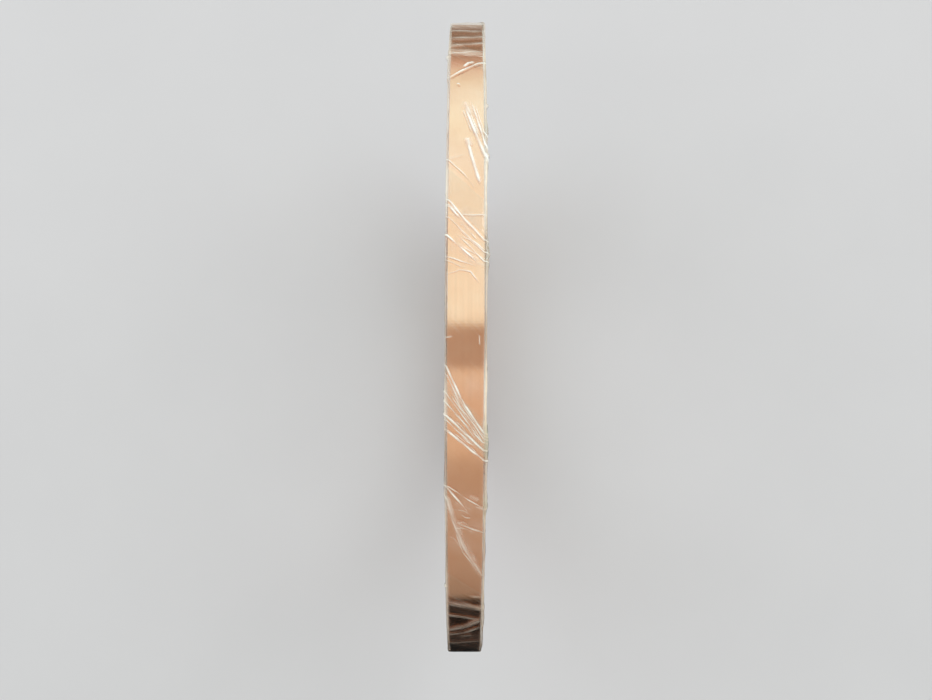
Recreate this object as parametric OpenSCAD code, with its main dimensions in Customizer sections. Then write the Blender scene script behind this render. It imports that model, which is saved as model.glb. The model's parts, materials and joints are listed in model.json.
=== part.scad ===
// Copper foil tape roll: one adhesive-backed strip of copper foil, wound copper side out with its
// paper release liner on a paperboard core, and wrapped in clear stretch film that passes over the
// rim, down both faces and back through the core's bore.
// Millimetres, +Z up. The roll stands on its rim, its axis lies along +Y, and the origin is the
// centre of the bore.

/* [Tape] */
// Width of the tape, along the roll's axis
tape_width = 4.76; // [3.2:0.01:12.7]
// Thickness of the copper foil
foil_thick = 0.032; // [0.025:0.001:0.05]
// Thickness of the adhesive behind the foil
adhesive_thick = 0.025; // [0.02:0.001:0.05]
// Thickness of the paper release liner
liner_thick = 0.075; // [0.06:0.001:0.12]
// Turns of tape on the core
turns = 108; // [40:1:130]
// Outermost turns that are drawn layer by layer
layered_turns = 2; // [1:1:4]
// Where the tape's cut end lies, in degrees from +X towards the floor
cut_end_angle = 120; // [0:5:355]

/* [Core] */
// Diameter of the paperboard core's bore
core_bore_d = 76.2; // [50:0.1:80]
// Thickness of one ply of the core
ply_thick = 0.6; // [0.3:0.05:1]
// Plies glued together in the core
core_plies = 5; // [3:1:8]

/* [Film] */
// Thickness of the film where its passes overlap
film_thick = 0.06; // [0.04:0.01:0.12]
// Air gap between the tape's edges and the film on each face
film_face_gap = 0.34; // [0.1:0.02:0.8]
// Air gap between the last turn and the film over the rim
film_rim_gap = 0.02; // [0.01:0.01:0.1]
// Radius of the film's folds over the four edges of the roll
film_fold_r = 0.3; // [0.15:0.05:0.4]
// Passes that the film makes through the bore on its way round the roll
film_passes = 12; // [8:1:24]
// Gap along the rim between one pass and the next
film_seam = 0.1; // [0.05:0.05:0.5]

/* [Hidden] */
$fn = 180;
tape_thick = liner_thick + adhesive_thick + foil_thick;
core_bore_r = core_bore_d / 2;
core_outer_r = core_bore_r + core_plies * ply_thick;
// The winding is a spiral of half circles whose centres step from side to side by a quarter of the
// tape's thickness, so its radius grows by one thickness in each turn and its cylinders stay true.
centre_step = tape_thick / 4;
// Radius on which the first layered turn starts
layered_start_r = core_outer_r + (turns - layered_turns) * tape_thick;
// Radius of the copper at the cut end, the furthest that the tape reaches
rim_r = core_outer_r + (turns + 1) * tape_thick;
film_half_width = tape_width / 2 + film_face_gap + film_thick;
film_rim_r = rim_r + film_rim_gap + film_thick;
film_bore_r = core_bore_r - film_thick;
film_pass_angle = 360 / film_passes;
film_seam_angle = film_seam / film_rim_r * 180 / PI;

ply_names = [for (i = [1:core_plies]) str("core_ply_", i)];

// Turns a shape built round Z so that its axis is the roll's, and its +Y side faces the floor.
module on_roll_axis() {
    rotate([-90, 0, 0]) children();
}

module ring(inner_r, outer_r, width) {
    difference() {
        cylinder(r = outer_r, h = width, center = true);
        cylinder(r = inner_r, h = width + 1, center = true);
    }
}

// Half a ring from +X round to -X, on the +Y side.
module half_ring(inner_r, outer_r, width) {
    rotate_extrude(angle = 180)
        translate([inner_r, -width / 2])
            square([outer_r - inner_r, width]);
}

// One turn of a strip in the spiral: depth is its height above the turn's own inner surface.
module spiral_turn(start_r, depth, thick, width) {
    first_r = start_r + centre_step + depth;
    second_r = start_r + 3 * centre_step + depth;
    translate([-centre_step, 0, 0]) half_ring(first_r, first_r + thick, width);
    translate([centre_step, 0, 0]) rotate([0, 0, 180]) half_ring(second_r, second_r + thick, width);
}

module outer_strip(depth, thick) {
    on_roll_axis()
        rotate([0, 0, cut_end_angle])
            for (i = [0:layered_turns - 1])
                spiral_turn(layered_start_r + i * tape_thick, depth, thick, tape_width);
}

// One ply of the paperboard core, counted from the bore outwards.
module core_ply(i) {
    inner_r = core_bore_r + (i - 1) * ply_thick;
    color(i % 2 == 1 ? "tan" : "burlywood")
        on_roll_axis() ring(inner_r, inner_r + ply_thick, tape_width);
}

// The turns below the layered ones, pressed together, with the step where the next turn starts.
module wound_tape() {
    first_r = layered_start_r + centre_step;
    second_r = layered_start_r + 3 * centre_step;
    color("peru")
        on_roll_axis()
            rotate([0, 0, cut_end_angle])
                difference() {
                    union() {
                        translate([-centre_step, 0, 0]) half_ring(core_bore_r, first_r, tape_width);
                        translate([centre_step, 0, 0])
                            rotate([0, 0, 180]) half_ring(core_bore_r, second_r, tape_width);
                    }
                    cylinder(r = core_outer_r, h = tape_width + 1, center = true);
                }
}

module outer_liner() {
    color("ivory") outer_strip(0, liner_thick);
}

module outer_adhesive() {
    color("wheat") outer_strip(liner_thick, adhesive_thick);
}

module outer_foil() {
    color("darksalmon") outer_strip(liner_thick + adhesive_thick, foil_thick);
}

// Section of the film's loop, as a rounded rectangle drawn in by some thickness.
module loop_section(inset) {
    fold_r = film_fold_r - inset;
    low_r = film_bore_r + inset;
    high_r = film_rim_r - inset;
    half_width = film_half_width - inset;
    union() {
        translate([low_r, -half_width + fold_r])
            square([high_r - low_r, 2 * (half_width - fold_r)]);
        translate([low_r + fold_r, -half_width])
            square([high_r - low_r - 2 * fold_r, 2 * half_width]);
        for (r = [low_r + fold_r, high_r - fold_r], side = [-1, 1])
            translate([r, side * (half_width - fold_r)]) circle(r = fold_r);
    }
}

// Each pass of the film is a loop round the section of the roll.
module film_wrap() {
    color("aliceblue", 0.3)
        on_roll_axis()
            for (i = [0:film_passes - 1])
                rotate([0, 0, i * film_pass_angle])
                    rotate_extrude(angle = film_pass_angle - film_seam_angle)
                        difference() {
                            loop_section(0);
                            loop_section(film_thick);
                        }
}

for (i = [1:core_plies]) core_ply(i);
wound_tape();
outer_liner();
outer_adhesive();
outer_foil();
film_wrap();
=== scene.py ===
"""Looks of the copper foil tape roll: board core, wound tape, creased clear film, light and camera.

Metres, in the CAD frame: the roll's axis is Y, its centre is the origin, and it stands on its rim.
Angles round the roll are counted from the top (+Z) towards -X, the side that the light comes from.
"""
import json
import math

import bpy
import numpy as np
from mathutils import Matrix, Vector


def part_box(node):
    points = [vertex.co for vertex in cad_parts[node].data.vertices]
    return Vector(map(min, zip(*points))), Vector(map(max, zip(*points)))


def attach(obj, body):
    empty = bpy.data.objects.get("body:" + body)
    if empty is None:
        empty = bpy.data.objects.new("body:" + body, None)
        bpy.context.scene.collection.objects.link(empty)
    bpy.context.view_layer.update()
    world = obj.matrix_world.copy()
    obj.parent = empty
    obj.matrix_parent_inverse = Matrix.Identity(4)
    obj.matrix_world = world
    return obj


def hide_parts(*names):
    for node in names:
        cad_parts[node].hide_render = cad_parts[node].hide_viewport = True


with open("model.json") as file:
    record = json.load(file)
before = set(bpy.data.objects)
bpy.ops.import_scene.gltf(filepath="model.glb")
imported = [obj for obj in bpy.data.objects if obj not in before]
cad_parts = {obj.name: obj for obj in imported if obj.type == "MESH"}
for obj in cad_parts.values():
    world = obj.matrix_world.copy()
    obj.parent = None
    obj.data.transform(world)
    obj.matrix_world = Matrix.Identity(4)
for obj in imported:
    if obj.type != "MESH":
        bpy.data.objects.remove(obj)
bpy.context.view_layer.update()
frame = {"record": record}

MM = 0.001
BODY = "root"

# ---------------------------------------------------------------- sizes, from the frame
BORE = next(m for m in frame["record"]["mounts"] if m["name"] == "core_bore")
FILM_BORE_R = BORE["dims"]["r_mm"] * MM
FILM_RIM_R = -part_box("film_wrap")[0].z
FILM_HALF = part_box("film_wrap")[1].y
TAPE_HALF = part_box("outer_foil")[1].y
CORE_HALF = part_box("core_ply_1")[1].y
CORE_PLIES = 5
CORE_OUTER_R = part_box("core_ply_5")[1].x
PLY = (CORE_OUTER_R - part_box("core_ply_1")[1].x) / (CORE_PLIES - 1)
TURNS = 108
CUT_END = math.radians(150)
# The foil's lowest point lies a twelfth of a turn before its cut end.
TAPE = (-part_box("outer_foil")[0].z - CORE_OUTER_R) / (TURNS + 1 - 1 / 12)
FOIL_SHARE = 0.24
GLUE_SHARE = 0.19


# ---------------------------------------------------------------- small helpers
def on_roll(angle, radius, across):
    """Points at that angle from the top towards -X, that far from the axis and along it."""
    angle, radius, across = np.broadcast_arrays(angle, radius, across)
    return np.stack([-np.sin(angle) * radius, across, np.cos(angle) * radius], -1)


def waves(seed, count, low, high, whole=False):
    """A smooth noise of one number and about unit size, from waves with frequencies low to high."""
    rng = np.random.default_rng(seed)
    freq = rng.integers(low, high + 1, count) if whole else rng.uniform(low, high, count)
    phase = rng.uniform(0, 2 * math.pi, count)
    size = rng.uniform(0.4, 1.0, count)
    size /= math.sqrt((size ** 2).sum() / 2)

    def value(x):
        total = 0.0 * np.asarray(x, float)
        for f, p, a in zip(freq, phase, size):
            total += a * np.sin(f * x + p)
        return total

    return value


def bump_at(x, centre, width):
    """A smooth bump of unit height."""
    return np.exp(-((x - centre) / width) ** 2)


def step(x, low, high):
    """A smooth step from 0 at low to 1 at high."""
    t = np.clip((x - low) / (high - low), 0, 1)
    return t * t * (3 - 2 * t)


def grid_faces(rows, columns, wrap_rows=False, wrap_columns=False):
    """The quads of a grid of points that is stored row by row."""
    row = np.arange(rows if wrap_rows else rows - 1)[:, None]
    column = np.arange(columns if wrap_columns else columns - 1)[None, :]
    next_row, next_column = (row + 1) % rows, (column + 1) % columns
    corners = [(row, column), (next_row, column), (next_row, next_column), (row, next_column)]
    return np.stack([r * columns + c for r, c in corners], -1).reshape(-1, 4)


def mesh_piece(name, points, face_groups, material, replaces, values=None, smooth=True):
    """A piece of the object, with a float attribute on its points for each of values.

    face_groups are arrays of faces, each array with its own number of corners."""
    mesh = bpy.data.meshes.new(name)
    mesh.vertices.add(len(points))
    mesh.vertices.foreach_set("co", np.asarray(points, np.float32).ravel())
    corners = np.concatenate([faces.ravel() for faces in face_groups])
    sizes = np.concatenate([np.full(len(faces), faces.shape[1]) for faces in face_groups])
    mesh.loops.add(len(corners))
    mesh.loops.foreach_set("vertex_index", corners.astype(np.int32))
    mesh.polygons.add(len(sizes))
    mesh.polygons.foreach_set("loop_start", (np.cumsum(sizes) - sizes).astype(np.int32))
    mesh.polygons.foreach_set("use_smooth", np.full(len(sizes), smooth))
    mesh.update(calc_edges=True)
    mesh.validate()
    for key, numbers in (values or {}).items():
        layer = mesh.attributes.new(key, "FLOAT", "POINT")
        layer.data.foreach_set("value", np.asarray(numbers, np.float32).ravel())
    mesh.materials.append(material)
    piece = bpy.data.objects.new(name, mesh)
    bpy.context.scene.collection.objects.link(piece)
    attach(piece, BODY)
    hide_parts(*replaces)
    return piece


# ---------------------------------------------------------------- camera
def make_camera():
    """Straight above the rim, near enough for its ends to shrink as they do in the photograph."""
    data = bpy.data.cameras.new("camera")
    data.sensor_width = 36.0
    data.lens = 36.9
    data.clip_start, data.clip_end = 0.005, 10
    camera = bpy.data.objects.new("camera", data)
    bpy.context.scene.collection.objects.link(camera)
    # The camera's right is +Y and its up is -X, and it is turned a little towards the darker side.
    level = Matrix(((0, -1, 0), (1, 0, 0), (0, 0, 1)))
    pitch = Matrix.Rotation(math.radians(-0.68), 3, "X")
    yaw = Matrix.Rotation(math.radians(-0.01), 3, "Y")
    roll = Matrix.Rotation(math.radians(0.22), 3, "Z")
    turned = (level @ pitch @ yaw @ roll).to_4x4()
    height = 3.2 * FILM_RIM_R
    camera.matrix_world = Matrix.Translation((0, 0, height)) @ turned
    bpy.context.scene.camera = camera


make_camera()


# ---------------------------------------------------------------- materials
class Shader:
    """The node tree of a material or a world, built by short calls.

    A value may be a socket, a number or a colour."""

    def __init__(self, owner):
        owner.use_nodes = True
        self.owner = owner
        self.tree = owner.node_tree
        self.tree.nodes.clear()

    def add(self, kind, **settings):
        node = self.tree.nodes.new(kind)
        for key, value in settings.items():
            setattr(node, key, value)
        return node

    def put(self, value, socket):
        if isinstance(value, bpy.types.NodeSocket):
            self.tree.links.new(value, socket)
        elif isinstance(value, tuple) and socket.type == "RGBA":
            socket.default_value = (*value, 1)
        else:
            socket.default_value = value

    def math(self, operation, *values, clamp=False):
        node = self.add("ShaderNodeMath", operation=operation, use_clamp=clamp)
        for value, socket in zip(values, node.inputs):
            self.put(value, socket)
        return node.outputs[0]

    def noise(self, scale, detail=4.0, rough=0.55, stretch=(1, 1, 1)):
        """Noise in the object's own metres; scale is in waves a metre."""
        mapping = self.add("ShaderNodeMapping")
        self.put(self.add("ShaderNodeTexCoord").outputs["Object"], mapping.inputs["Vector"])
        mapping.inputs["Scale"].default_value = stretch
        node = self.add("ShaderNodeTexNoise")
        self.put(mapping.outputs["Vector"], node.inputs["Vector"])
        node.inputs["Scale"].default_value = scale
        node.inputs["Detail"].default_value = detail
        node.inputs["Roughness"].default_value = rough
        return node.outputs["Fac"]

    def attribute(self, name):
        return self.add("ShaderNodeAttribute", attribute_name=name).outputs["Fac"]

    def ramp(self, value, *stops):
        """A colour or a grey that changes between (position, colour) stops."""
        node = self.add("ShaderNodeValToRGB")
        elements = node.color_ramp.elements
        while len(elements) < len(stops):
            elements.new(0.5)
        for element, (position, colour) in zip(elements, stops):
            element.position = position
            element.color = (*(colour if isinstance(colour, tuple) else (colour,) * 3), 1)
        self.put(value, node.inputs["Fac"])
        return node.outputs["Color"]

    def mix_colour(self, share, a, b):
        node = self.add("ShaderNodeMix", data_type="RGBA")
        for value, socket in ((share, node.inputs[0]), (a, node.inputs[6]), (b, node.inputs[7])):
            self.put(value, socket)
        return node.outputs[2]

    def bump(self, height, distance):
        node = self.add("ShaderNodeBump")
        self.put(height, node.inputs["Height"])
        self.put(distance, node.inputs["Distance"])
        return node.outputs["Normal"]

    def principled(self, **sockets):
        node = self.add("ShaderNodeBsdfPrincipled")
        for key, value in sockets.items():
            self.put(value, node.inputs[key.replace("_", " ")])
        return node.outputs["BSDF"]

    def mix(self, share, a, b):
        node = self.add("ShaderNodeMixShader")
        for value, socket in zip((share, a, b), node.inputs):
            self.put(value, socket)
        return node.outputs[0]

    def finish(self, surface):
        output = self.add("ShaderNodeOutputMaterial")
        self.put(surface, output.inputs["Surface"])
        return self.owner


def copper_material():
    """Bright rolled foil: fine lines along its length, faint stains and a slightly uneven gloss."""
    s = Shader(bpy.data.materials.new("rolled_copper"))
    lines = s.noise(1.0, 3, 0.6, (25, 5200, 25))
    wide_lines = s.noise(1.0, 2, 0.5, (12, 1300, 12))
    stains = s.noise(90, 4, 0.6)
    deep, middle, pale = (0.875, 0.48, 0.30), (0.93, 0.55, 0.37), (0.945, 0.61, 0.44)
    colour = s.ramp(stains, (0.30, deep), (0.52, middle), (0.72, pale))
    colour = s.mix_colour(s.ramp(lines, (0.35, 0.0), (0.75, 0.22)), colour, (0.76, 0.41, 0.26))
    rough = s.math("MULTIPLY_ADD", lines, 0.07, s.math("MULTIPLY_ADD", stains, 0.05, 0.035))
    height = s.math("MULTIPLY_ADD", wide_lines, 1.4, lines)
    normal = s.bump(height, 0.0000012)
    return s.finish(s.principled(Base_Color=colour, Metallic=1.0, Roughness=rough, Normal=normal))


def paper_material():
    """White siliconised paper on its slit edge, toned darker with painted shade between the turns,
    with copper smeared over it by the knife.
    """
    s = Shader(bpy.data.materials.new("release_paper"))
    fibres = s.noise(2600, 3, 0.6)
    smear = s.noise(1.0, 4, 0.6, (260, 2600, 260))
    # The paper and fibre tones are darker than the paper's own: the paper's colour with painted
    # shade for the shade between the turns.
    paper, fibre, copper = (0.74, 0.66, 0.55), (0.56, 0.47, 0.37), (0.66, 0.38, 0.22)
    dark_turn, pale_turn = (0.40, 0.205, 0.11), (0.86, 0.78, 0.66)
    colour = s.mix_colour(s.ramp(fibres, (0.35, 0.0), (0.8, 0.5)), paper, fibre)
    colour = s.mix_colour(s.ramp(smear, (0.40, 0.2), (0.75, 0.7)), colour, copper)
    darker = s.ramp(s.attribute("tone"), (0.15, 0.6), (0.6, 0.0))
    paler = s.ramp(s.attribute("tone"), (0.6, 0.0), (0.95, 0.6))
    colour = s.mix_colour(darker, colour, dark_turn)
    colour = s.mix_colour(paler, colour, pale_turn)
    return s.finish(s.principled(Base_Color=colour, Roughness=0.6, Normal=s.bump(fibres, 0.00001)))


def adhesive_material():
    """A thin amber line of pressure-sensitive adhesive."""
    s = Shader(bpy.data.materials.new("adhesive"))
    wet = s.noise(900, 3, 0.5)
    colour = s.ramp(wet, (0.3, (0.55, 0.40, 0.22)), (0.7, (0.70, 0.58, 0.38)))
    rough = s.math("MULTIPLY_ADD", wet, 0.2, 0.25)
    return s.finish(s.principled(Base_Color=colour, Roughness=rough, Normal=s.bump(wet, 0.00001)))


def board_material(name, light, dark, fleck):
    """Paperboard: mottled pulp with long fibres and darker flecks."""
    s = Shader(bpy.data.materials.new(name))
    pulp = s.noise(900, 6, 0.65)
    fibres = s.noise(1.0, 4, 0.6, (500, 2600, 500))
    flecks = s.noise(1500, 2, 0.5)
    colour = s.mix_colour(s.ramp(pulp, (0.3, 0.0), (0.7, 1.0)), dark, light)
    colour = s.mix_colour(s.ramp(fibres, (0.5, 0.0), (0.72, 0.35)), colour, light)
    colour = s.mix_colour(s.ramp(flecks, (0.66, 0.0), (0.74, 0.8)), colour, fleck)
    normal = s.bump(s.math("ADD", pulp, fibres), 0.00004)
    return s.finish(s.principled(Base_Color=colour, Roughness=0.85, Normal=normal))


def film_material():
    """Clear film: what lies behind it shows, its folds are milky, and it shines more at a slant."""
    s = Shader(bpy.data.materials.new("clear_film"))
    haze = s.attribute("haze")
    cloud = s.noise(700, 3, 0.6)
    milky = s.math("MULTIPLY", haze, s.math("MULTIPLY_ADD", cloud, 0.7, 0.65), clamp=True)
    clear = s.add("ShaderNodeBsdfTransparent")
    clear.inputs["Color"].default_value = (0.985, 0.995, 0.985, 1)
    # The first milk colour, used over the rim, is painted light from the copper beneath the film.
    painted_copper_light, plain = (0.96, 0.79, 0.67), (0.96, 0.93, 0.87)
    amber, deep = (0.93, 0.77, 0.60), (0.62, 0.58, 0.44)
    milk = s.ramp(s.attribute("tint"), (0.0, painted_copper_light), (0.25, plain), (0.5, amber), (1.0, deep))
    white = s.principled(Base_Color=milk, Roughness=0.3)
    body = s.mix(milky, clear.outputs[0], white)
    gloss = s.add("ShaderNodeBsdfGlossy")
    gloss.inputs["Roughness"].default_value = 0.09
    gloss.inputs["Color"].default_value = (1, 1, 1, 1)
    slanted = s.add("ShaderNodeLayerWeight").outputs["Facing"]
    shine = s.math("MULTIPLY_ADD", s.math("POWER", slanted, 5.0), 0.9, 0.048, clamp=True)
    return s.finish(s.mix(shine, body, gloss.outputs[0]))


def floor_material():
    """Plain pale matt floor."""
    s = Shader(bpy.data.materials.new("pale_floor"))
    grain = s.noise(40, 3, 0.5)
    colour = s.mix_colour(grain, (0.645, 0.625, 0.665), (0.675, 0.655, 0.695))
    return s.finish(s.principled(Base_Color=colour, Roughness=0.8, Specular_IOR_Level=0.0))


COPPER = copper_material()
PAPER = paper_material()
ADHESIVE = adhesive_material()
KRAFT = board_material(
    "kraft_board", light=(0.50, 0.33, 0.18), dark=(0.39, 0.24, 0.125), fleck=(0.20, 0.12, 0.06),
)
GREY_BOARD = board_material(
    "grey_board", light=(0.50, 0.375, 0.255), dark=(0.37, 0.265, 0.175), fleck=(0.18, 0.125, 0.085),
)
FILM = film_material()


# ---------------------------------------------------------------- paperboard core
def ply_section(inner, outer):
    """The ply's section, as (radius, across) points all the way round, with broken corners."""
    corner = 0.07 * MM
    half = CORE_HALF - 0.02 * MM
    wide = np.linspace(-half + corner, half - corner, 7)
    deep = np.linspace(inner + corner, outer - corner, 5)
    section = [(inner, y) for y in wide]
    section += [(r, half) for r in deep]
    section += [(outer, y) for y in reversed(wide)]
    section += [(r, -half) for r in reversed(deep)]
    return np.array(section), half


def make_ply(number):
    """One ply of the core: a wound strip of board with a butt joint and furry cut edges."""
    gap = 0.012 * MM
    # In millimetres: the cut edges' waves and fur, the board's grain, and its joint.
    wave_size, fur_size, grain_size, joint_width, joint_depth = 0.018, 0.016, 0.004, 0.3, 0.09
    inner = CORE_OUTER_R - (CORE_PLIES - number + 1) * PLY + gap
    section, half = ply_section(inner, inner + PLY - 2 * gap)
    grid = (420, len(section))
    angle = np.linspace(0, 2 * math.pi, grid[0], endpoint=False)[:, None]
    rng = np.random.default_rng(30 + number)
    on_cut = np.isclose(np.abs(section[:, 1]), half)
    slow_fur = waves(40 + number, 9, 3, 40, whole=True)(angle) * wave_size * MM
    fur = slow_fur + rng.normal(0, fur_size * MM, grid)
    across = section[:, 1] - np.sign(section[:, 1]) * np.abs(fur) * on_cut
    joint = rng.uniform(0, 2 * math.pi) + section[:, 1] / inner * 1.1
    from_joint = np.abs((angle - joint + math.pi) % (2 * math.pi) - math.pi) * inner
    groove = bump_at(from_joint, 0, joint_width * MM) * joint_depth * MM
    groove = groove * np.isclose(section[:, 0], inner)
    radius = section[:, 0] + groove + rng.normal(0, grain_size * MM, grid)
    outside = number in (1, CORE_PLIES)
    mesh_piece(
        f"core_ply_{number}_board", on_roll(angle, radius, across).reshape(-1, 3),
        [grid_faces(*grid, wrap_rows=True, wrap_columns=True)], KRAFT if outside else GREY_BOARD,
        [f"core_ply_{number}"],
    )


for ply in range(1, CORE_PLIES + 1):
    make_ply(ply)


# ---------------------------------------------------------------- tape, wound as true spirals
def winding_angles():
    """How far round from its start each section of the strip lies, closer in the last turns."""
    fine_turns, coarse_steps, fine_steps = 2, 120, 900
    inside = np.arange(0, (TURNS - fine_turns) * coarse_steps) / coarse_steps
    outside = np.linspace(TURNS - fine_turns, TURNS, fine_turns * fine_steps + 1)
    return np.concatenate([inside, outside]) * 2 * math.pi


WOUND = winding_angles()
# Turns stand a bit proud of each other and differ in tone, more from turn to turn than along one.
EDGE_WANDER = (waves(3, 14, 0.1, 2.3)(WOUND) * 0.010 + waves(4, 6, 0.004, 0.06)(WOUND) * 0.016) * MM
EDGE_WANDER *= 1 - step(WOUND, 2 * math.pi * (TURNS - 2), 2 * math.pi * (TURNS - 1))
TONE = 0.5 + 0.2 * waves(5, 16, 0.01, 0.45)(WOUND) + 0.14 * waves(6, 10, 0.4, 1.1)(WOUND)


def make_strip(name, low, high, inset, material, slot, *replaces):
    """One layer of the tape, from low to high as shares of the thickness of all its layers."""
    angle = CUT_END - WOUND
    base = CORE_OUTER_R + TAPE * WOUND / (2 * math.pi)
    half = TAPE_HALF - inset
    corners = [(low, -half), (high, -half), (high, half), (low, half)]
    rows = [on_roll(angle, base + share * TAPE, y + EDGE_WANDER) for share, y in corners]
    quads = grid_faces(len(WOUND), 4, wrap_columns=True)
    last = 4 * (len(WOUND) - 1)
    ends = np.array([(3, 2, 1, 0), (last, last + 1, last + 2, last + 3)])
    points = np.stack(rows, 1).reshape(-1, 3)
    tone = {"tone": np.repeat(np.clip(TONE, 0, 1), 4)}
    mesh_piece(name, points, [quads, ends], material, replaces, tone, smooth=False)


FOIL_LOW = 1 - FOIL_SHARE
GLUE_LOW = FOIL_LOW - GLUE_SHARE
make_strip(
    "liner_strip", 0.01, GLUE_LOW, 0.018 * MM, PAPER, "release_paper", "outer_liner", "wound_tape",
)
make_strip("adhesive_strip", GLUE_LOW, FOIL_LOW, 0.03 * MM, ADHESIVE, "adhesive", "outer_adhesive")
make_strip("foil_strip", FOIL_LOW, 0.995, 0.002 * MM, COPPER, "copper_foil", "outer_foil")


# ---------------------------------------------------------------- film: course round the section
PASSES = 12
PASS_ANGLE = 2 * math.pi / PASSES
STRIP_ANGLE = PASS_ANGLE + math.radians(5)
FOLD_R = 0.3 * MM
FLAT = FILM_HALF - FOLD_R
QUARTER = FOLD_R * math.pi / 2
RIM_PART = FLAT + QUARTER
DOWN = FILM_RIM_R - FILM_BORE_R - 2 * FOLD_R
HALF_LOOP = 2 * FLAT + 2 * QUARTER + DOWN


def half_loop(s):
    """(radius, across, way out as radial and across) at s from the rim's middle, on one side."""
    if s <= FLAT:
        return FILM_RIM_R, s, 1.0, 0.0
    s -= FLAT
    if s <= QUARTER:
        c, n = math.cos(s / FOLD_R), math.sin(s / FOLD_R)
        return FILM_RIM_R - FOLD_R + FOLD_R * c, FLAT + FOLD_R * n, c, n
    s -= QUARTER
    if s <= DOWN:
        return FILM_RIM_R - FOLD_R - s, FILM_HALF, 0.0, 1.0
    s -= DOWN
    if s <= QUARTER:
        c, n = math.cos(s / FOLD_R), math.sin(s / FOLD_R)
        return FILM_BORE_R + FOLD_R - FOLD_R * n, FLAT + FOLD_R * c, -n, c
    return FILM_BORE_R, FLAT - (s - QUARTER), -1.0, 0.0


def loop_stations():
    """Where the film's rows lie along the loop, and how many of those at each end are coarse."""
    near = 0.6 * MM
    fine = ((FLAT, 20), (QUARTER, 6), (near, 3))
    coarse = ((DOWN - near, 36), (QUARTER, 4), (FLAT, 6))
    half, start = [], 0.0
    for length, rows in fine + coarse:
        half += list(start + np.arange(rows) * length / rows)
        start += length
    half.append(HALF_LOOP)
    return np.array([-s for s in reversed(half[1:])] + half), sum(rows for _, rows in coarse)


STATION, COARSE_ROWS = loop_stations()
RADIUS, ACROSS, OUT_R, OUT_Y = np.array([half_loop(abs(s)) for s in STATION]).T
ACROSS, OUT_Y = ACROSS * np.sign(STATION), OUT_Y * np.sign(STATION)


def slant(s):
    """How far round the strip has moved at s.

    It crosses the rim at 45 degrees, and each loop brings it on by one pass."""
    on_rim = np.minimum(np.abs(s), RIM_PART) / FILM_RIM_R
    rest = (PASS_ANGLE / 2 - RIM_PART / FILM_RIM_R) / (HALF_LOOP - RIM_PART)
    return -np.sign(s) * (on_rim + np.maximum(np.abs(s) - RIM_PART, 0) * rest)


# ---------------------------------------------------------------- film: creases
# Half-width and height in millimetres, how milky, and how much that varies along the crease.
KINDS = {
    "fine": (0.08, 0.04, 0.55, 0.30),
    "clear": (0.095, 0.06, 0.72, 0.25),
    "strong": (0.145, 0.11, 0.97, 0.22),
    "bold": (0.23, 0.12, 1.0, 0.12),
    "broad": (0.36, 0.09, 0.40, 0.12),
    "wide": (0.62, 0.12, 0.42, 0.14),
    "ribbon": (0.95, 0.12, 0.42, 0.10),
    "milky": (0.45, 0.13, 0.60, 0.20),
    "soft": (0.30, 0.05, 0.24, 0.20),
    "veil": (1.9, 0.03, 0.15, 0.15),
}
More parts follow.
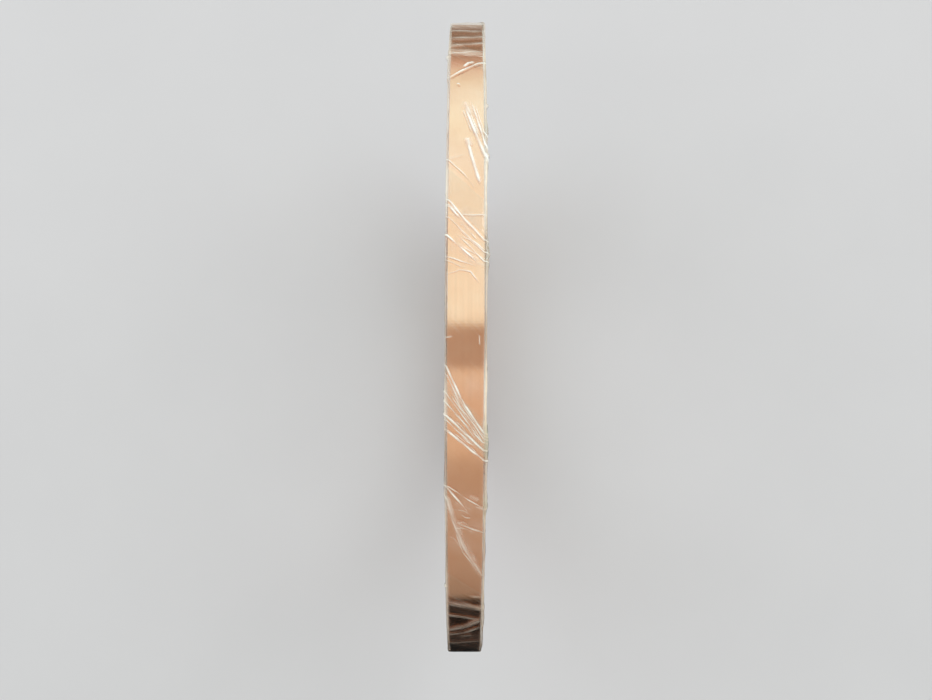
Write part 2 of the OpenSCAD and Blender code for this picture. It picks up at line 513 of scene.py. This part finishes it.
# On the side that the camera sees. Each point is degrees from the top and millimetres along Y.
SEEN_CREASES = [
    ("ribbon", (65.8, -2.3), (65.5, 2.5)),
    ("wide", (60, -2.3), (59.3, 2.5)),
    ("ribbon", (55.6, -2.3), (56.2, 2.5)),
    ("wide", (52.2, -2.3), (52.9, -0.3), (53.3, 2.5)),
    ("ribbon", (50.2, -2.4), (49.7, -0.9), (49.6, 2.5)),
    ("clear", (49.3, -2.3), (49.5, -0.5), (49.9, 2.4)),
    ("fine", (48.8, -1.2), (48.2, 2.4)),
    ("strong", (42.1, -2.4), (44.2, -0.4), (46, 1.6), (46.1, 2.4)),
    ("bold", (44.9, -0.5), (46.1, 0.2), (46.5, 1.2)),
    ("clear", (40.6, -1.4), (40.2, -0.9)),
    ("bold", (36.2, -0.5), (31.5, 0.8), (26, 2.5)),
    ("clear", (34.9, -0.6), (30.2, 0.7)),
    ("strong", (36.8, 0.5), (32.5, 1.5), (28, 2.5)),
    ("milky", (36.6, -0.3), (33.5, 0.6)),
    ("soft", (36, 0.4), (30.5, 1.7)),
    ("bold", (28.8, 0.1), (26, 0.7), (21.2, 1.9)),
    ("milky", (29.4, 0), (27.6, 0.5)),
    ("soft", (25.5, -2.4), (26.7, 0.6)),
    ("clear", (25.3, -2.3), (23, -0.2), (21.3, 0.9), (20, 1.1)),
    ("strong", (19, -2.3), (16.2, -0.2), (13.3, 2.3)),
    ("strong", (18.3, -2.3), (16, -0.6)),
    ("fine", (16.9, -2.4), (16.9, 2.3)),
    ("clear", (16.5, -2.3), (11.6, 2.3)),
    ("strong", (13.9, -2.5), (11.3, 0.3), (9.6, 2)),
    ("clear", (14.5, -1.6), (10.4, 2.3)),
    ("clear", (11, -2.5), (9.4, 2)),
    ("fine", (10.4, -2.4), (9.2, 0.6)),
    ("clear", (8.6, -2.4), (9.2, -0.8), (8.9, 0.6), (7, 2)),
    ("fine", (0.2, -2.3), (0.3, -1.4)),
    ("fine", (0.6, 1.7), (-0.9, 1.8)),
    ("veil", (-6.2, -1.2), (-6.5, 2.4)),
    ("veil", (-12.4, 0.6), (-14.6, 2.5)),
    ("strong", (-3.7, -2.5), (-8.6, -0.3), (-12.6, 2.3)),
    ("clear", (-5, -2.3), (-9.2, -0.5), (-13.4, 2.3)),
    ("fine", (-6, -2.2), (-9.4, -0.6), (-14, 2.3)),
    ("clear", (-7.3, -2.5), (-12.8, 1.4)),
    ("clear", (-8.5, -2.6), (-14, 2.2)),
    ("strong", (-10.3, -2.5), (-15.1, 2.3)),
    ("strong", (-12.4, -2.4), (-16.5, 2.3)),
    ("strong", (-20.8, -2.4), (-24.4, 0.3)),
    ("fine", (-21.4, -1.9), (-25, 0.6)),
    ("clear", (-20.6, -2.2), (-23.3, 1.3), (-24, 2.4)),
    ("soft", (-23.3, -2.3), (-24.5, 2)),
    ("broad", (-22, 0.4), (-22.8, 1.9)),
    ("broad", (-23.5, 0.4), (-24.1, 2.4)),
    ("soft", (-24.3, 0.6), (-24.8, 2.4)),
    ("strong", (-26.4, -1.5), (-27.2, 0.4), (-28.1, 2.3)),
    ("broad", (-26.2, -1.2), (-27, 0.2)),
    ("veil", (-23, -2.2), (-24.6, 2.3)),
    ("veil", (-29.5, -2.4), (-31, 2.2)),
    ("milky", (-22.6, -2.4), (-26.7, -1.35), (-29.7, -0.6), (-32.1, 0.35), (-36.5, 2.3)),
    ("wide", (-25.5, -1.5), (-29.4, -0.5), (-31.8, 0.5), (-35.5, 1.9)),
    ("clear", (-27.5, -1.4), (-31.8, -0.3), (-35.8, 2)),
    ("fine", (-28.6, -2.6), (-29.2, -1.5), (-32.1, 0.1)),
    ("soft", (-41.4, 0.2), (-41.9, 2.2)),
    ("wide", (-43.4, -2.5), (-44.1, -0.2), (-45, 2.3)),
    ("broad", (-47, -2.6), (-47.8, 0.3), (-48.5, 2.2)),
    ("soft", (-48.4, 0.8), (-48.2, 2.4)),
    ("wide", (-52.4, -2.4), (-50.8, 0.2), (-48.4, 2.3)),
    ("broad", (-54.6, -2.4), (-53.6, 0), (-51.2, 2.3)),
    ("soft", (-55.4, -0.8), (-54.8, 1.2)),
    ("broad", (-59.5, -2.4), (-58, 2.3)),
    ("veil", (17.6, -1.4), (14.2, 1.9)),
    ("veil", (13.4, -2), (10.4, 1.6)),
    ("veil", (-26, -0.6), (-27.4, 2.2)),
]
# Sheaves of finer creases: the first and last crease of each, and how many lie between them.
SEEN_SHEAVES = [
    ((-3.6, -2.5), (-12.6, 2.3), (-12.4, -2.5), (-16.6, 2.3), 18),
    ((19.3, -2.5), (13.6, 2.4), (10.5, -2.5), (8.8, 2.4), 12),
    ((-20.3, -2.5), (-23.6, 2.4), (-27.5, -2.5), (-29, 2.4), 8),
    ((36.5, -0.4), (27, 2.5), (36.9, 0.9), (29.5, 2.5), 3),
    ((-22.5, -2.4), (-36.5, 2), (-26, -2.4), (-37.5, 2.4), 2),
]


def sheaf(first_near, first_far, last_near, last_far, count, rng):
    """Creases from the first to the last of a sheaf, each with a place and a bend of its own."""
    ends = np.array([first_near, first_far, last_near, last_far], float)
    lines = []
    for share in np.sort(rng.uniform(0, 1, count)):
        near = ends[0] * (1 - share) + ends[2] * share
        far = ends[1] * (1 - share) + ends[3] * share
        start, stop = rng.uniform(0, 0.35), rng.uniform(0.65, 1)
        near, far = near + (far - near) * start, near + (far - near) * stop
        middle = (near + far) / 2 + (rng.normal(0, 0.35), 0)
        kind = rng.choice(["fine", "fine", "clear", "soft"])
        lines.append((kind, tuple(near), tuple(middle), tuple(far)))
    return lines


def seen_sheaves():
    rng = np.random.default_rng(10)
    return [line for ends in SEEN_SHEAVES for line in sheaf(*ends, rng)]


def unseen_creases():
    """Bundles like the seen ones round the rest of the rim: most draw together towards one edge."""
    rng = np.random.default_rng(11)
    creases = []
    bundles, first_knot, spacing, rim_edge = 8, 86, 25.5, 2.4
    for bundle in range(bundles):
        knot = first_knot + spacing * bundle + rng.uniform(-3, 3)
        edge = rim_edge if rng.random() < 0.75 else -rim_edge
        turn = np.sign(edge)
        open_by = rng.uniform(5, 10)
        first = (knot + turn * (5 + open_by), -edge), (knot + turn * 1.5, edge)
        last = (knot + turn * 3, -edge), (knot - turn * 1.5, edge)
        creases += sheaf(*first, *last, rng.integers(6, 12), rng)
        for _ in range(rng.integers(2, 5)):
            share = rng.uniform(0, 1)
            near, far = np.array(first) * (1 - share) + np.array(last) * share
            creases.append((rng.choice(["strong", "clear"]), tuple(near), tuple(far)))
        kind = rng.choice(["broad", "wide"])
        creases.append((kind, (knot - 8, -edge), (knot - 9 + rng.uniform(-4, 4), edge)))
    return creases


def with_tails(points):
    """A crease that reaches an edge of the rim runs on over it, some way down the face."""
    points = [np.array(p, float) for p in points]
    # Across, in millimetres: where the edge begins, a tail's length, the least it is scaled from.
    edge, tail, least = 2.1, 5.5, 1.5
    for end, before in ((0, 1), (-1, -2)):
        if abs(points[end][1]) > edge:
            along = points[end] - points[before]
            along *= tail / max(abs(along[1]), least)
            along[0] *= 0.4
            points.insert(0 if end == 0 else len(points), points[end] + along)
    return np.array([(math.radians(a), y * MM) for a, y in points])


def face_creases():
    """Tension lines over both faces, slanting as the strip does: most are long and soft."""
    rng = np.random.default_rng(12)
    creases = []
    count = 150
    for _ in range(count):
        side = rng.choice([-1, 1])
        start = RIM_PART + DOWN * rng.uniform(0, 0.55)
        end = min(start + DOWN * rng.uniform(0.35, 0.9), RIM_PART + DOWN)
        angle = rng.uniform(0, 2 * math.pi)
        bend, drift = rng.normal(0, 0.012), rng.normal(0, 0.035)
        points = [
            (angle + slant(side * start), side * start),
            (angle + slant(side * (start + end) / 2) + drift / 2 + bend, side * (start + end) / 2),
            (angle + slant(side * end) + drift, side * end),
        ]
        kind = rng.choice(["soft", "broad", "fine", "clear"], p=[0.42, 0.2, 0.3, 0.08])
        creases.append((kind, np.array(points)))
    return creases


def all_creases():
    """Every crease as (kind, points), those of the rim first, and how many those are."""
    on_rim = SEEN_CREASES + seen_sheaves() + unseen_creases()
    rim = [(kind, with_tails(points)) for kind, *points in on_rim]
    return rim + face_creases(), len(rim)


CREASES, RIM_CREASES = all_creases()


def turn_to(angle, near):
    """The same angle, within half a turn of near."""
    return (angle - near + math.pi) % (2 * math.pi) - math.pi


def add_crease(number, angle, s, radius, height, haze):
    """Raises the film along one crease and makes it milky there, in the height and haze arrays."""
    kind, path = CREASES[number]
    width, tall, white, varies = KINDS[kind]
    width, tall = width * MM, tall * MM
    reach = 6 * width
    offset = turn_to(angle, path[:, 0].mean())
    path_offset = path[:, 0] - path[:, 0].mean()
    turn_reach = reach / FILM_BORE_R
    close = (offset > path_offset.min() - turn_reach) & (offset < path_offset.max() + turn_reach)
    close &= (s > path[:, 1].min() - reach) & (s < path[:, 1].max() + reach)
    if not close.any():
        return
    offset, s_near, r = offset[close], s[close], radius[close]
    wobble = waves(500 + number, 4, 700, 3800)
    offset = offset + wobble(s_near) * 0.03 * MM / r
    width = width * (1 + 1.2 * step(np.abs(s_near), RIM_PART, RIM_PART + 1.5 * MM))
    nearest = np.full(len(offset), 1e9)
    along, beside = np.zeros(len(offset)), np.zeros(len(offset))
    lengths = np.hypot(np.diff(path_offset) * FILM_RIM_R, np.diff(path[:, 1]))
    starts = np.concatenate([[0], np.cumsum(lengths)])
    for i, length in enumerate(lengths):
        ax, ay = (offset - path_offset[i]) * r, s_near - path[i, 1]
        bx, by = (path_offset[i + 1] - path_offset[i]) * r, path[i + 1, 1] - path[i, 1]
        t = np.clip((ax * bx + ay * by) / (bx * bx + by * by), 0, 1)
        distance = np.hypot(ax - t * bx, ay - t * by)
        better = distance < nearest
        nearest = np.where(better, distance, nearest)
        along = np.where(better, starts[i] + t * length, along)
        beside = np.where(better, np.sign(ax * by - ay * bx), beside)
    total = starts[-1]
    fade = step(along, 0, 0.18 * total) * (1 - step(along, 0.8 * total, total))
    if number < RIM_CREASES:
        fade *= 1 - 0.75 * step(np.abs(s_near), RIM_PART + 0.2 * MM, RIM_PART + 3.5 * MM)
    uneven = np.clip(0.85 + varies * waves(900 + number, 4, 500, 2400)(along), 0.2, 1.3)
    x = nearest / (width * (0.75 + 0.25 * fade))
    if kind in ("broad", "wide", "ribbon", "milky"):
        streaks = waves(1300 + number, 6, 2, 9)(x * beside + 0.2 * np.sin(900 * along))
        ridge = np.exp(-x ** 2.5) * (0.75 + 0.05 * streaks)
        milk = np.exp(-x ** 2.5) * np.clip(0.82 + 0.1 * streaks, 0.2, 1.3)
    else:
        ridge = np.exp(-x ** 2)
        milk = np.exp(-(x * 1.05) ** 2)
    height[close] = np.maximum(height[close], ridge * tall * fade * np.clip(uneven, 0.5, 1.2))
    haze[close] = np.maximum(haze[close], milk * white * fade * uneven)


# ---------------------------------------------------------------- film: pleats, wrinkles and bulges
def pleats(phi, s):
    """The strip is gathered at the bore, in narrow pleats and broad soft folds: (height, haze)."""
    rng = np.random.default_rng(13)
    depth = (np.abs(s) - RIM_PART) / DOWN
    pleat_r = FILM_BORE_R + 0.4 * (1 - np.clip(depth, 0, 1)) * DOWN
    height, haze = 0 * s, 0 * s
    count = 190
    for centre in rng.uniform(0, 2 * math.pi, count):
        narrow = rng.random() < 0.55
        reach_up = rng.uniform(0.05, 0.8) if narrow else rng.uniform(-0.15, 0.5)
        width = (rng.uniform(0.22, 0.6) if narrow else rng.uniform(0.8, 2.2)) * MM
        tall = (rng.uniform(0.10, 0.30) if narrow else rng.uniform(0.05, 0.16)) * MM
        white = rng.uniform(0.15, 0.5) if narrow else rng.uniform(0.04, 0.13)
        side = rng.choice([-1, 0, 1], p=[0.4, 0.2, 0.4])
        grown = step(depth, reach_up, 1.0) * (1 - 0.6 * step(depth, 1.08, 1.35))
        grown = grown * np.where(side == 0, 1.0, (np.sign(s) == side) | (depth > 1.02))
        bend = 0.004 * waves(int(centre * 1e4), 3, 200, 900)(s)
        x = turn_to(phi + bend, centre) * pleat_r / width
        height = np.maximum(height, np.exp(-x ** 2) * tall * grown)
        haze = np.maximum(haze, np.exp(-(x * (1.7 if narrow else 1.0)) ** 2) * white * grown)
    return height, haze


def edge_bulges(angle, s):
    """The film stands unevenly off the roll where it folds over its edges, with some small tabs."""
    depth = np.abs(s) - RIM_PART
    fades = np.exp(-(np.maximum(depth, 0) / (2.2 * MM)) ** 2)
    near_edge = fades * step(np.abs(s), 0.8 * FLAT, RIM_PART)
    left = waves(14, 7, 4, 26, whole=True)(angle)
    right = waves(15, 7, 4, 26, whole=True)(angle)
    out = near_edge * np.where(s > 0, right * 0.09 - 0.02, left * 0.07 - 0.10) * MM
    # Degrees from the top, side, and height in millimetres.
    tabs = [(48.3, -1, 0.3), (20.1, -1, 0.25), (-39.3, -1, 0.3), (35.7, 1, 0.3), (26.3, 1, 0.3)]
    for degrees, side, tall in tabs:
        away = turn_to(angle, math.radians(degrees)) * FILM_RIM_R
        tab = bump_at(away, 0, 0.35 * MM) * bump_at(depth, 0.1 * MM, 0.5 * MM)
        out += tall * MM * tab * (s * side > 0)
    return out


def crinkles(angle, s):
    """Crushed patches along the edges, where several creases meet: (height, haze)."""
    height, haze = 0 * s, 0 * s
    rng = np.random.default_rng(16)
    # Degrees from the top, side, and length in millimetres.
    patches = [(-14, 1, 2.6), (-23.5, 1, 1.8), (11.5, 1, 2.4), (31, 1, 1.6)]
    patches += [(72 + 24 * i, rng.choice([-1, 1]), rng.uniform(1.2, 2.8)) for i in range(9)]
    rough = waves(17, 9, 900, 3000)
    cross = waves(18, 9, 60, 190, whole=True)
    for degrees, side, length in patches:
        away = turn_to(angle, math.radians(degrees)) * FILM_RIM_R
        at_edge = bump_at(np.abs(s), RIM_PART + 0.1 * MM, 0.75 * MM) * (s * side > 0)
        share = bump_at(away, 0, length * MM) * at_edge
        texture = cross(angle + 9 * s / FILM_RIM_R) * (0.6 + 0.4 * rough(s))
        height = height + share * (0.18 + 0.11 * texture) * MM
        haze = np.maximum(haze, share * (0.36 + 0.22 * texture))
    return height, haze


def wrinkles(phi, s):
    """Faint ripples along the strip, everywhere."""
    fine = waves(19, 12, 150, 420, whole=True)(phi)
    slow = waves(20, 8, 20, 90, whole=True)(phi + 0.6 * s / FILM_RIM_R)
    change = waves(21, 5, 150, 700)(s)
    return (fine * 0.0022 * (1 + 0.5 * change) + slow * 0.007) * MM


def film_shape(angle, s, radius):
    """How far the film stands out from its smooth course, and how milky it is."""
    phi = angle - slant(s)
    depth = (np.abs(s) - RIM_PART) / DOWN
    on_face = step(depth, 0, 0.08) * (1 - step(depth, 0.95, 1.02))
    crease, milk = np.zeros_like(s), np.zeros_like(s)
    for number in range(len(CREASES)):
        add_crease(number, angle, s, radius, crease, milk)
    pleat, pleat_milk = pleats(phi, s)
    crushed, crushed_milk = crinkles(angle, s)
    hollow = -0.13 * MM * on_face * (1 + 0.5 * waves(22, 6, 3, 14, whole=True)(phi))
    height = np.maximum(crease, pleat) + crushed + edge_bulges(angle, s) + hollow
    height += wrinkles(phi, s) * (1 + 8 * on_face)
    height = np.maximum(height, -0.3 * MM * on_face - 0.02 * MM)
    at_fold = bump_at(np.abs(s), RIM_PART - 0.25 * MM, 0.34 * MM)
    fold_milk = np.clip(0.5 + 0.2 * waves(24, 8, 3, 30, whole=True)(angle), 0.15, 0.85)
    fold_milk = fold_milk * np.where(s > 0, 1.0, 0.7)
    fold_milk = fold_milk + 0.35 * bump_at(turn_to(angle, math.radians(-6)), 0, 0.15) * (s > 0)
    haze = 0.024 + 0.016 * waves(23, 8, 8, 60, whole=True)(phi) + at_fold * fold_milk
    haze = np.maximum(haze, 0.01) + 0.025 * on_face
    milk = milk * (1 - 0.25 * on_face)
    haze = np.clip(np.maximum.reduce([haze, milk, pleat_milk, crushed_milk]), 0, 0.97)
    # Where the tint stays 0, over the rim, the milk takes the painted copper light.
    off_rim = 0.25 * step(np.abs(s), RIM_PART - 0.5 * MM, RIM_PART)
    whiter = 0.25 * step(milk, 0.22, 0.6)
    folded = 0.5 * at_fold * (s > 0) * (milk < 0.3)
    crushed_tint = crushed_milk * 1.8 * (milk < 0.5)
    tint = np.clip(np.maximum.reduce([off_rim, whiter, folded]) + crushed_tint, 0, 1)
    return height, haze, tint


# ---------------------------------------------------------------- film: the strip's twelve passes
COARSE_COLUMNS = 134
SPLIT = 3
FIRST_PASS = math.radians(4)
# Each pass rises by this much from its first edge to its last, which lies over the next pass.
LAP_RISE = 0.045 * MM
LAP_START = -0.028 * MM


def pass_faces(coarse, fine):
    """Faces of a strip whose middle rows have SPLIT quads to each one in the rows at its ends."""
    low, middle = COARSE_ROWS * coarse, (len(STATION) - 2 * COARSE_ROWS) * fine
    low_quads = grid_faces(COARSE_ROWS, coarse)
    fine_quads = grid_faces(len(STATION) - 2 * COARSE_ROWS, fine) + low
    high_quads = low_quads + low + middle
    k = np.arange(coarse - 1)
    last_low, first_fine = low - coarse + k, low + SPLIT * k
    last_fine, first_high = low + middle - fine + SPLIT * k, low + middle + k
    split = range(SPLIT + 1)
    joins_low = [last_low] + [first_fine + i for i in split] + [last_low + 1]
    joins_high = [last_fine + i for i in reversed(split)] + [first_high, first_high + 1]
    return [low_quads, np.stack(joins_low, -1), fine_quads, np.stack(joins_high, -1), high_quads]


def make_pass(number):
    """One pass of the strip round the rim, the faces and the bore, lapped over the next one."""
    fine_columns = SPLIT * (COARSE_COLUMNS - 1) + 1
    columns = np.full(len(STATION), fine_columns)
    columns[:COARSE_ROWS] = columns[-COARSE_ROWS:] = COARSE_COLUMNS
    row = np.repeat(np.arange(len(STATION)), columns)
    share = np.concatenate([np.linspace(0, 1, count) for count in columns])
    s = STATION[row]
    angle = FIRST_PASS + PASS_ANGLE * number + (share - 0.5) * STRIP_ANGLE + slant(s)
    height, haze, tint = film_shape(angle, s, RADIUS[row])
    height += LAP_START + LAP_RISE * share
    cut_edges = bump_at(share, 0, 0.004) + bump_at(share, 1, 0.004)
    haze = np.maximum(haze, 0.16 * cut_edges)
    points = on_roll(angle, RADIUS[row] + OUT_R[row] * height, ACROSS[row] + OUT_Y[row] * height)
    piece = mesh_piece(
        f"film_pass_{number + 1:02d}", points, pass_faces(COARSE_COLUMNS, fine_columns), FILM,
        ["film_wrap"], {"haze": haze, "tint": tint},
    )


for number in range(PASSES):
    make_pass(number)


# ---------------------------------------------------------------- floor and light
def make_floor():
    """A plain pale floor under the rim, left out of reflections: those show the surroundings."""
    mesh = bpy.data.meshes.new("floor")
    size, low = 1.5, -FILM_RIM_R - 0.02 * MM
    corners = [(-size, -size, low), (size, -size, low), (size, size, low), (-size, size, low)]
    mesh.from_pydata(corners, [], [(0, 1, 2, 3)])
    mesh.materials.append(floor_material())
    floor = bpy.data.objects.new("floor", mesh)
    bpy.context.scene.collection.objects.link(floor)
    floor.visible_glossy = False


# Tone of the surroundings by the degrees from straight up towards -X, where a cool window is.
WINDOW = (1.04, 1.225, 1.165)
DIM_CEILING = (0.495, 0.414, 0.331)
SURROUNDINGS = [
    (-180, (0.03, 0.03, 0.03)), (-165, (0.01, 0.01, 0.01)), (-101, (0.01, 0.01, 0.01)),
    (-98, (0.356, 0.304, 0.248)), (-80, (0.465, 0.405, 0.335)), (-50, (0.535, 0.475, 0.395)),
    (-42, (0.58, 0.52, 0.43)), (-36, (0.76, 0.68, 0.55)), (-20, (0.77, 0.695, 0.575)),
    (-15, (0.84, 0.81, 0.70)), (-10.5, (0.84, 0.835, 0.73)), (-8.5, DIM_CEILING),
    (3.5, DIM_CEILING), (6, WINDOW), (45, WINDOW), (62, (1.07, 1.35, 1.365)),
    (80, (1.10, 1.45, 1.46)), (91, (1.03, 1.30, 1.31)), (98, (0.93, 1.09, 1.0)),
    (104, (0.86, 0.90, 0.80)), (109, (0.64, 0.50, 0.39)), (118, (0.297, 0.22, 0.152)),
    (142, (0.25, 0.19, 0.14)), (150, (0.75, 0.72, 0.66)), (166, (0.75, 0.72, 0.66)),
    (174, (0.05, 0.05, 0.05)), (180, (0.03, 0.03, 0.03)),
]


def make_world():
    """Soft surroundings in bands along the roll's axis, and a plain pale tone behind the floor."""
    world = bpy.data.worlds.new("studio")
    bpy.context.scene.world = world
    s = Shader(world)
    split = s.add("ShaderNodeSeparateXYZ")
    s.put(s.add("ShaderNodeTexCoord").outputs["Generated"], split.inputs[0])
    towards_light = s.math("MULTIPLY", split.outputs["X"], -1.0)
    around = s.math("ARCTAN2", towards_light, split.outputs["Z"])
    place = s.math("MULTIPLY_ADD", around, 0.5 / math.pi, 0.5)
    bands = s.ramp(place, *[((a + 180) / 360, level) for a, level in SURROUNDINGS])
    across = s.math("POWER", s.math("ABSOLUTE", split.outputs["Y"]), 2.0)
    tone = s.mix_colour(across, bands, (0.85, 0.85, 0.85))
    seen = s.add("ShaderNodeLightPath").outputs["Is Camera Ray"]
    tone = s.mix_colour(seen, tone, (0.67, 0.665, 0.66))
    background = s.add("ShaderNodeBackground")
    s.put(tone, background.inputs["Color"])
    output = s.add("ShaderNodeOutputWorld")
    s.put(background.outputs[0], output.inputs["Surface"])


def make_light(name, place, size, power, colour=(1, 1, 1)):
    """A square soft box that looks at the roll."""
    data = bpy.data.lights.new(name, "AREA")
    data.size = size
    data.energy = power
    data.color = colour
    light = bpy.data.objects.new(name, data)
    light.location = place
    light.visible_camera = False
    light.rotation_euler = (-Vector(place)).to_track_quat("-Z", "Y").to_euler()
    bpy.context.scene.collection.objects.link(light)


make_floor()
make_world()
make_light("key", (-0.36, 0.34, 0.42), 0.48, 0.95, (1.0, 0.98, 0.95))
make_light("other_side", (-0.20, -0.44, 0.34), 0.40, 0.48)
bpy.context.scene.view_settings.view_transform = "Standard"
